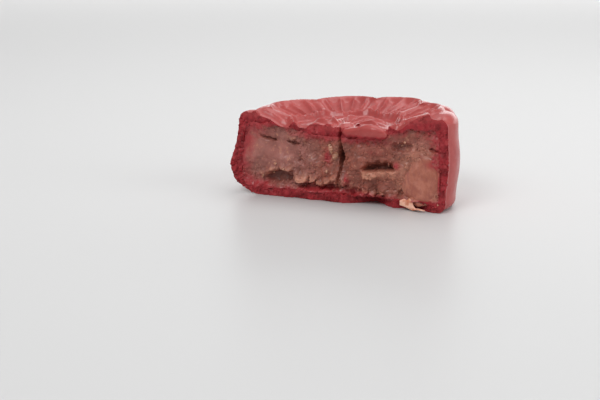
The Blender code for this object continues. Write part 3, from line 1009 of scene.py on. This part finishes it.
crust_crumbs = strew("crust_crumbs", crust, torn_face, 700, 0.14 * MM, 0.48 * MM, torn_crust)
paint(crust, "outer", outerness_and_base_shade)
paint(crust_crumbs, "outer", outerness_and_base_shade)
set_in_place(crust_crumbs, 60.0)
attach(crust_crumbs, "root")
set_in_place(crust, 55.0)
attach(crust, "root")
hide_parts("crust")

# %% [markdown]
# ## The flap
# Right of the crack a strip of the top skin bent down over the paste as the cake was snapped. It is a
# cube, subdivided and pulled to a rounded strip with a torn lower edge.

# %% Make the flap
bpy.ops.object.select_all(action="DESELECT")
bpy.ops.mesh.primitive_cube_add(size=2.0)
flap = bpy.context.object
flap.name = "bent_flap"
flap.data.materials.append(pastry_skin)
flap.data.materials.append(torn_crust)
bpy.ops.object.mode_set(mode="EDIT")
bpy.ops.mesh.subdivide(number_cuts=31)
bpy.ops.object.mode_set(mode="OBJECT")


def shape_flap(point):
    """A strip with a rounded front, which curves back to the top skin at its upper edge."""
    along = (point.x + 1.0) / 2.0
    u = FLAP_LEFT + (FLAP_RIGHT - FLAP_LEFT) * along
    low = (21.9 + 0.9 * grain(u, 0.0, 1.6 * MM, 25.0)) * MM
    end = (1.0 - abs(point.x) ** 4) ** 0.5
    z = low + (flap_top(u) - low) * (point.z * (0.3 + 0.7 * end) + 1.0) / 2.0
    round_off = (1.0 - abs(point.z) ** 3) ** 0.5 * (0.4 + 0.6 * end)
    front = face_depth(u, z) + 0.2 * MM - 1.9 * MM * round_off + 0.18 * MM * grain(u, z, 2.5 * MM, 27.0)
    return Vector((u, front if point.y < 0.0 else front + 3.0 * MM * point.y * round_off, z))


reshape(flap, shape_flap)
for face in flap.data.polygons:
    ragged = 0.5 * MM * grain(face.center.x, 0.0, 1.1 * MM, 29.0)
    face.material_index = 1 if face.center.z + ragged < 23.2 * MM or face.normal.y > 0.3 else 0
paint(flap, "outer", lambda point: smoothstep(22.2 * MM, 23.8 * MM, point.z))
set_in_place(flap, 60.0)
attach(flap, "root")


# %% [markdown]
# ## The paste
# The paste fills the room. Its broken face carries most of the detail: lumps, ledges, pits and the
# crack where the half nearly parted again. Values painted on its points say where it is mauve, where
# painted shade darkens its pits and crevices, where it took red from the crust, and where a
# peach-coloured lump shows. The mauve value also holds one painted highlight on a lobe.

# %% Make the paste
paste = turned("bean_paste", core_outline(0.0), CORE_STEPS)
paste.data.materials.append(bean_paste)
reshape(paste, press_core)
halve(paste, BREAK - SPARE)
carve(paste, break_cutter("paste cutter", paste_break, PASTE_CELL, bean_paste))


# %% Paint the paste
# Each stain: middle u and z, and reach across and up, in mm; then its strength.
STAINS = (
    (-5.2, 14.6, 1.3, 2.3, 1.4),
    (30.2, 14.7, 2.2, 1.5, 1.3),
    (32.6, 20.5, 2.8, 5.5, 1.6),
    (33.6, 9.0, 1.1, 8.0, 1.0),
    (29.5, 23.6, 3.0, 1.6, 0.7),
    (18.5, 13.7, 1.2, 0.9, 1.5),
    (2.0, 7.8, 0.9, 1.8, 1.2),
    (9.0, 21.2, 7.5, 1.5, 0.9),
    (-11.0, 20.9, 4.0, 1.3, 0.7),
    (-8.5, 3.6, 8.0, 1.3, 0.8),
    (3.0, 3.6, 5.0, 1.4, 0.7),
    (11.5, 17.6, 3.0, 1.3, 0.35),
)


def stain(point):
    """Where red from the crust has got on the paste."""
    spots = 0.0
    for u, z, reach_u, reach_z, strength in STAINS:
        spots += strength * bump(point.x, u * MM, reach_u * MM) * bump(point.z, z * MM, reach_z * MM)
    broken = 0.75 + 0.8 * grain(point.x, point.z, 1.2 * MM, 73.0)
    far_left = smoothstep(22.0 * MM, 33.0 * MM, -point.x)
    smear = 1.2 * crust_nearness(point.x, point.z, 7.0 * MM) * far_left
    return 0.85 * crust_nearness(point.x, point.z) + smear + spots * broken


def peach(point):
    """Where paler paste shows: the ledge, the flakes, and round the nut."""
    _, paleness = flake_relief(point.x, point.z)
    around_nut = smoothstep(-0.70, 0.1, nut_share(point.x, point.z))
    near_crack = bump(point.x, -3.0 * MM, 1.2 * MM) * bump(point.z, 15.6 * MM, 3.0 * MM)
    ragged = 0.8 + 0.5 * grain(point.x, point.z, 1.3 * MM, 77.0)
    ledge = 0.9 * shelf(point.x, point.z)
    return ragged * (ledge + 1.1 * paleness + 0.65 * around_nut + 0.6 * near_crack)


def mauve(point):
    """Where the paste is greyer: its left part, and a patch at the upper right; and a paler painted
    highlight on a lobe beside the crack's foot.
    """
    patch = 0.7 * bump(point.x, 24.0 * MM, 8.0 * MM) * bump(point.z, 20.0 * MM, 3.0 * MM)
    # painted highlight: a paler, greyer patch on a rounded lobe near the crack's foot
    lobe = 0.8 * bump(point.x, 0.9 * MM, 1.5 * MM) * bump(point.z, 8.2 * MM, 3.2 * MM)
    left = smoothstep(4.0 * MM, 16.0 * MM, -point.x)
    return left + patch + lobe + 0.3 * grain(point.x, point.z, 4.0 * MM, 79.0)


def pit_shade(point):
    """Painted shade for a place's depth: 1 in a deep pit, and a little in each crevice."""
    pit = 0.85 * smoothstep(0.9 * MM, 2.8 * MM, point.y - face_depth(point.x, point.z) - 0.6 * MM)
    crevice = 0.50 * smoothstep(0.05 * MM, 0.50 * MM, fine_relief(point.x, point.z))
    _, paleness = flake_relief(point.x, point.z)
    pale = min(1.0, paleness + shelf(point.x, point.z))
    return max(pit, crevice) * (1.0 - 0.85 * pale)


paint(paste, "mauve", mauve)
# the deep value is painted shade, dark in pits and crevices
paint(paste, "deep", pit_shade)
paint(paste, "stain", stain)
paint(paste, "peach", peach)


# %% Crumbs of the paste
def broken_face(face):
    """Whether a face of the paste is on its rough broken front."""
    rough = crumbliness(face.center.x, face.center.z) > 0.55
    return rough and face.normal.y < 0.2 and face.center.y < BREAK + 3.0 * MM


paste_crumbs = strew("paste_crumbs", paste, broken_face, 1300, 0.12 * MM, 0.42 * MM, bean_paste)
for value_name, value_rule in (("mauve", mauve), ("stain", stain), ("peach", peach)):
    paint(paste_crumbs, value_name, value_rule)
set_in_place(paste_crumbs, 60.0)
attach(paste_crumbs, "root")
set_in_place(paste, 70.0)
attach(paste, "root")
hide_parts("filling")

# %% [markdown]
# ## Nut bits and painted glints
# A few pale crumbs of nut are caught in the paste: a cluster left of the crack, and single grains. Some
# single grains are painted highlights: pale specks put where glints and lit edges of the paste shine.

# %% Make the nut bits
# Each bit: u and z and size in mm. Some single grains, such as the two near u 20 and z 21 and the one at
# u -24, are painted highlights.
NUT_BITS_AND_GLINTS = (
    (-3.9, 17.6, 0.85), (-3.4, 16.6, 0.55), (-2.3, 15.5, 1.00), (-2.6, 14.3, 0.45), (-4.5, 18.6, 0.40),
    (21.2, 21.7, 0.35), (19.9, 20.3, 0.30), (-24.0, 10.9, 0.50), (-20.2, 9.6, 0.45), (-25.6, 7.2, 0.40),
    (-5.3, 9.8, 0.40), (14.9, 13.2, 0.35), (9.6, 10.6, 0.40), (33.0, 2.6, 0.35), (-28.6, 6.4, 0.40),
)
bpy.ops.object.select_all(action="DESELECT")
bpy.ops.mesh.primitive_ico_sphere_add(subdivisions=2, radius=1.0)
shard = bpy.context.object
shard.name = "shard"
reshape(shard, lambda point: point * (1.0 + 0.9 * noise.noise(point * 1.2 + Vector((2.0, 7.0, 0.0)))))
bit_places = []
for bit_u, bit_z, bit_size in NUT_BITS_AND_GLINTS:
    u, z, size = bit_u * MM, bit_z * MM, bit_size * MM
    turn = random_turn()
    shape = Vector((random.uniform(0.6, 1.5), 0.6, random.uniform(0.6, 1.2))) * size
    bit_places.append(Matrix.LocRotScale(Vector((u, paste_break(u, z) - 0.25 * size, z)), turn, shape))
nut_bits_and_glints = joined_copies("nut_bits_and_glints", shard, bit_places, pale_nut_and_glints)
set_in_place(nut_bits_and_glints, 28.0)
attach(nut_bits_and_glints, "root")
bpy.data.objects.remove(crumb)
bpy.data.objects.remove(shard)

# %% [markdown]
# ## The nut
# The nut is smooth where the paste is rough. It starts as a fine ball that is stretched, flattened
# where it broke, and given faint uneven furrows.

# %% Make the nut
bpy.ops.object.select_all(action="DESELECT")
bpy.ops.mesh.primitive_uv_sphere_add(segments=96, ring_count=64, radius=1.0)
nut = bpy.context.object
nut.name = "whole_nut"
nut.data.materials.append(nut_flesh)


def shape_nut(point):
    """A lumpy egg with a slightly domed, uneven broken front."""
    swell = 1.0 + 0.10 * noise.noise(point * 1.5) + 0.03 * noise.noise(point * 4.0)
    u = NUT_MIDDLE.x + NUT_HALF.x * point.x * swell
    z = NUT_MIDDLE.z + NUT_HALF.z * point.z * swell
    away = min(1.0, math.hypot(point.x, point.z))
    front = face_depth(u, z) + 0.40 * MM + 1.0 * MM * away**6
    furrow = 0.45 * MM * grain(u, z, 3.6 * MM, 83.0)
    furrow += 0.16 * MM * grain(0.6 * u + 0.8 * z, u, 1.3 * MM, 85.0)
    y = front + furrow if point.y < 0.0 else front + NUT_HALF.y * point.y * 1.5
    return Vector((u, y, z))


def nut_stain(point):
    """A red smear over the nut's upper edge."""
    return 0.9 * bump(point.x, 30.2 * MM, 1.8 * MM) * bump(point.z, 14.9 * MM, 1.2 * MM)


def nut_rim_shade(point):
    """A faint painted shade round the rim where the nut goes into the paste."""
    return 0.12 * (1.0 - smoothstep(0.05, 0.30, nut_share(point.x, point.z)))


reshape(nut, shape_nut)
paint(nut, "stain", nut_stain)
# painted shade round the nut's rim
paint(nut, "deep", nut_rim_shade)
set_in_place(nut, 60.0)
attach(nut, "root")
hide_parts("nut")

# %% [markdown]
# ## The nut flake
# A thin bright sliver of nut leans in the crumbled base. It is a small plate, subdivided, pulled to
# three corners and bent.

# %% Make the flake
bpy.ops.object.select_all(action="DESELECT")
bpy.ops.mesh.primitive_cube_add(size=2.0)
flake = bpy.context.object
flake.name = "nut_flake"
flake.data.materials.append(flake_flesh)
bpy.ops.object.mode_set(mode="EDIT")
bpy.ops.mesh.subdivide(number_cuts=14)
bpy.ops.object.mode_set(mode="OBJECT")
FLAKE_LEFT = Vector((20.6, 1.6)) * MM
FLAKE_RIGHT = Vector((29.0, 0.5)) * MM


def shape_flake(point):
    """A bent sliver: a pointed blade at the left, drawn out to a thin tail at the right."""
    along = (point.x + 1.0) / 2.0
    base = FLAKE_LEFT.lerp(FLAKE_RIGHT, along)
    peak = 2.9 * bump(along, 0.38, 0.13) + 1.3 * bump(along, 0.12, 0.14) + 0.6 * (1.0 - along)
    tall = (0.35 + peak * (1.0 + 0.25 * noise.noise(Vector((along * 9.0, 0.0, 4.0))))) * MM
    sag = -0.9 * MM * bump(along, 0.45, 0.25)
    up = max(0.2 * MM, base.y + sag + (point.z + 1.0) / 2.0 * tall)
    thin = 0.5 * MM * (1.0 - 0.6 * abs(point.x) ** 3) * (1.0 - 0.6 * abs(point.z) ** 3)
    bend = 0.7 * MM * math.sin(along * 5.0) + 0.3 * MM * grain(base.x, up, 1.6 * MM, 91.0)
    return Vector((base.x, BREAK - 0.9 * MM + bend + thin * point.y, up))


reshape(flake, shape_flake)
set_in_place(flake, 50.0)
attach(flake, "root")
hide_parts("nut_chip")

# %% [markdown]
# ## The table
# A plain pale table, a little glossy, wide enough to fill the view.

# %% Table top
bpy.ops.object.select_all(action="DESELECT")
bpy.ops.mesh.primitive_circle_add(vertices=96, radius=6.0, fill_type="NGON", location=(0.0, 0.0, -0.0001))
table = bpy.context.object
table.name = "table_top"
bpy.ops.object.transform_apply(location=True, rotation=True, scale=True)
table_finish, _, table_shader, _ = start_finish("white table", 0.45)
table_shader.inputs["Base Color"].default_value = (0.57, 0.57, 0.57, 1.0)
table.data.materials.append(table_finish)
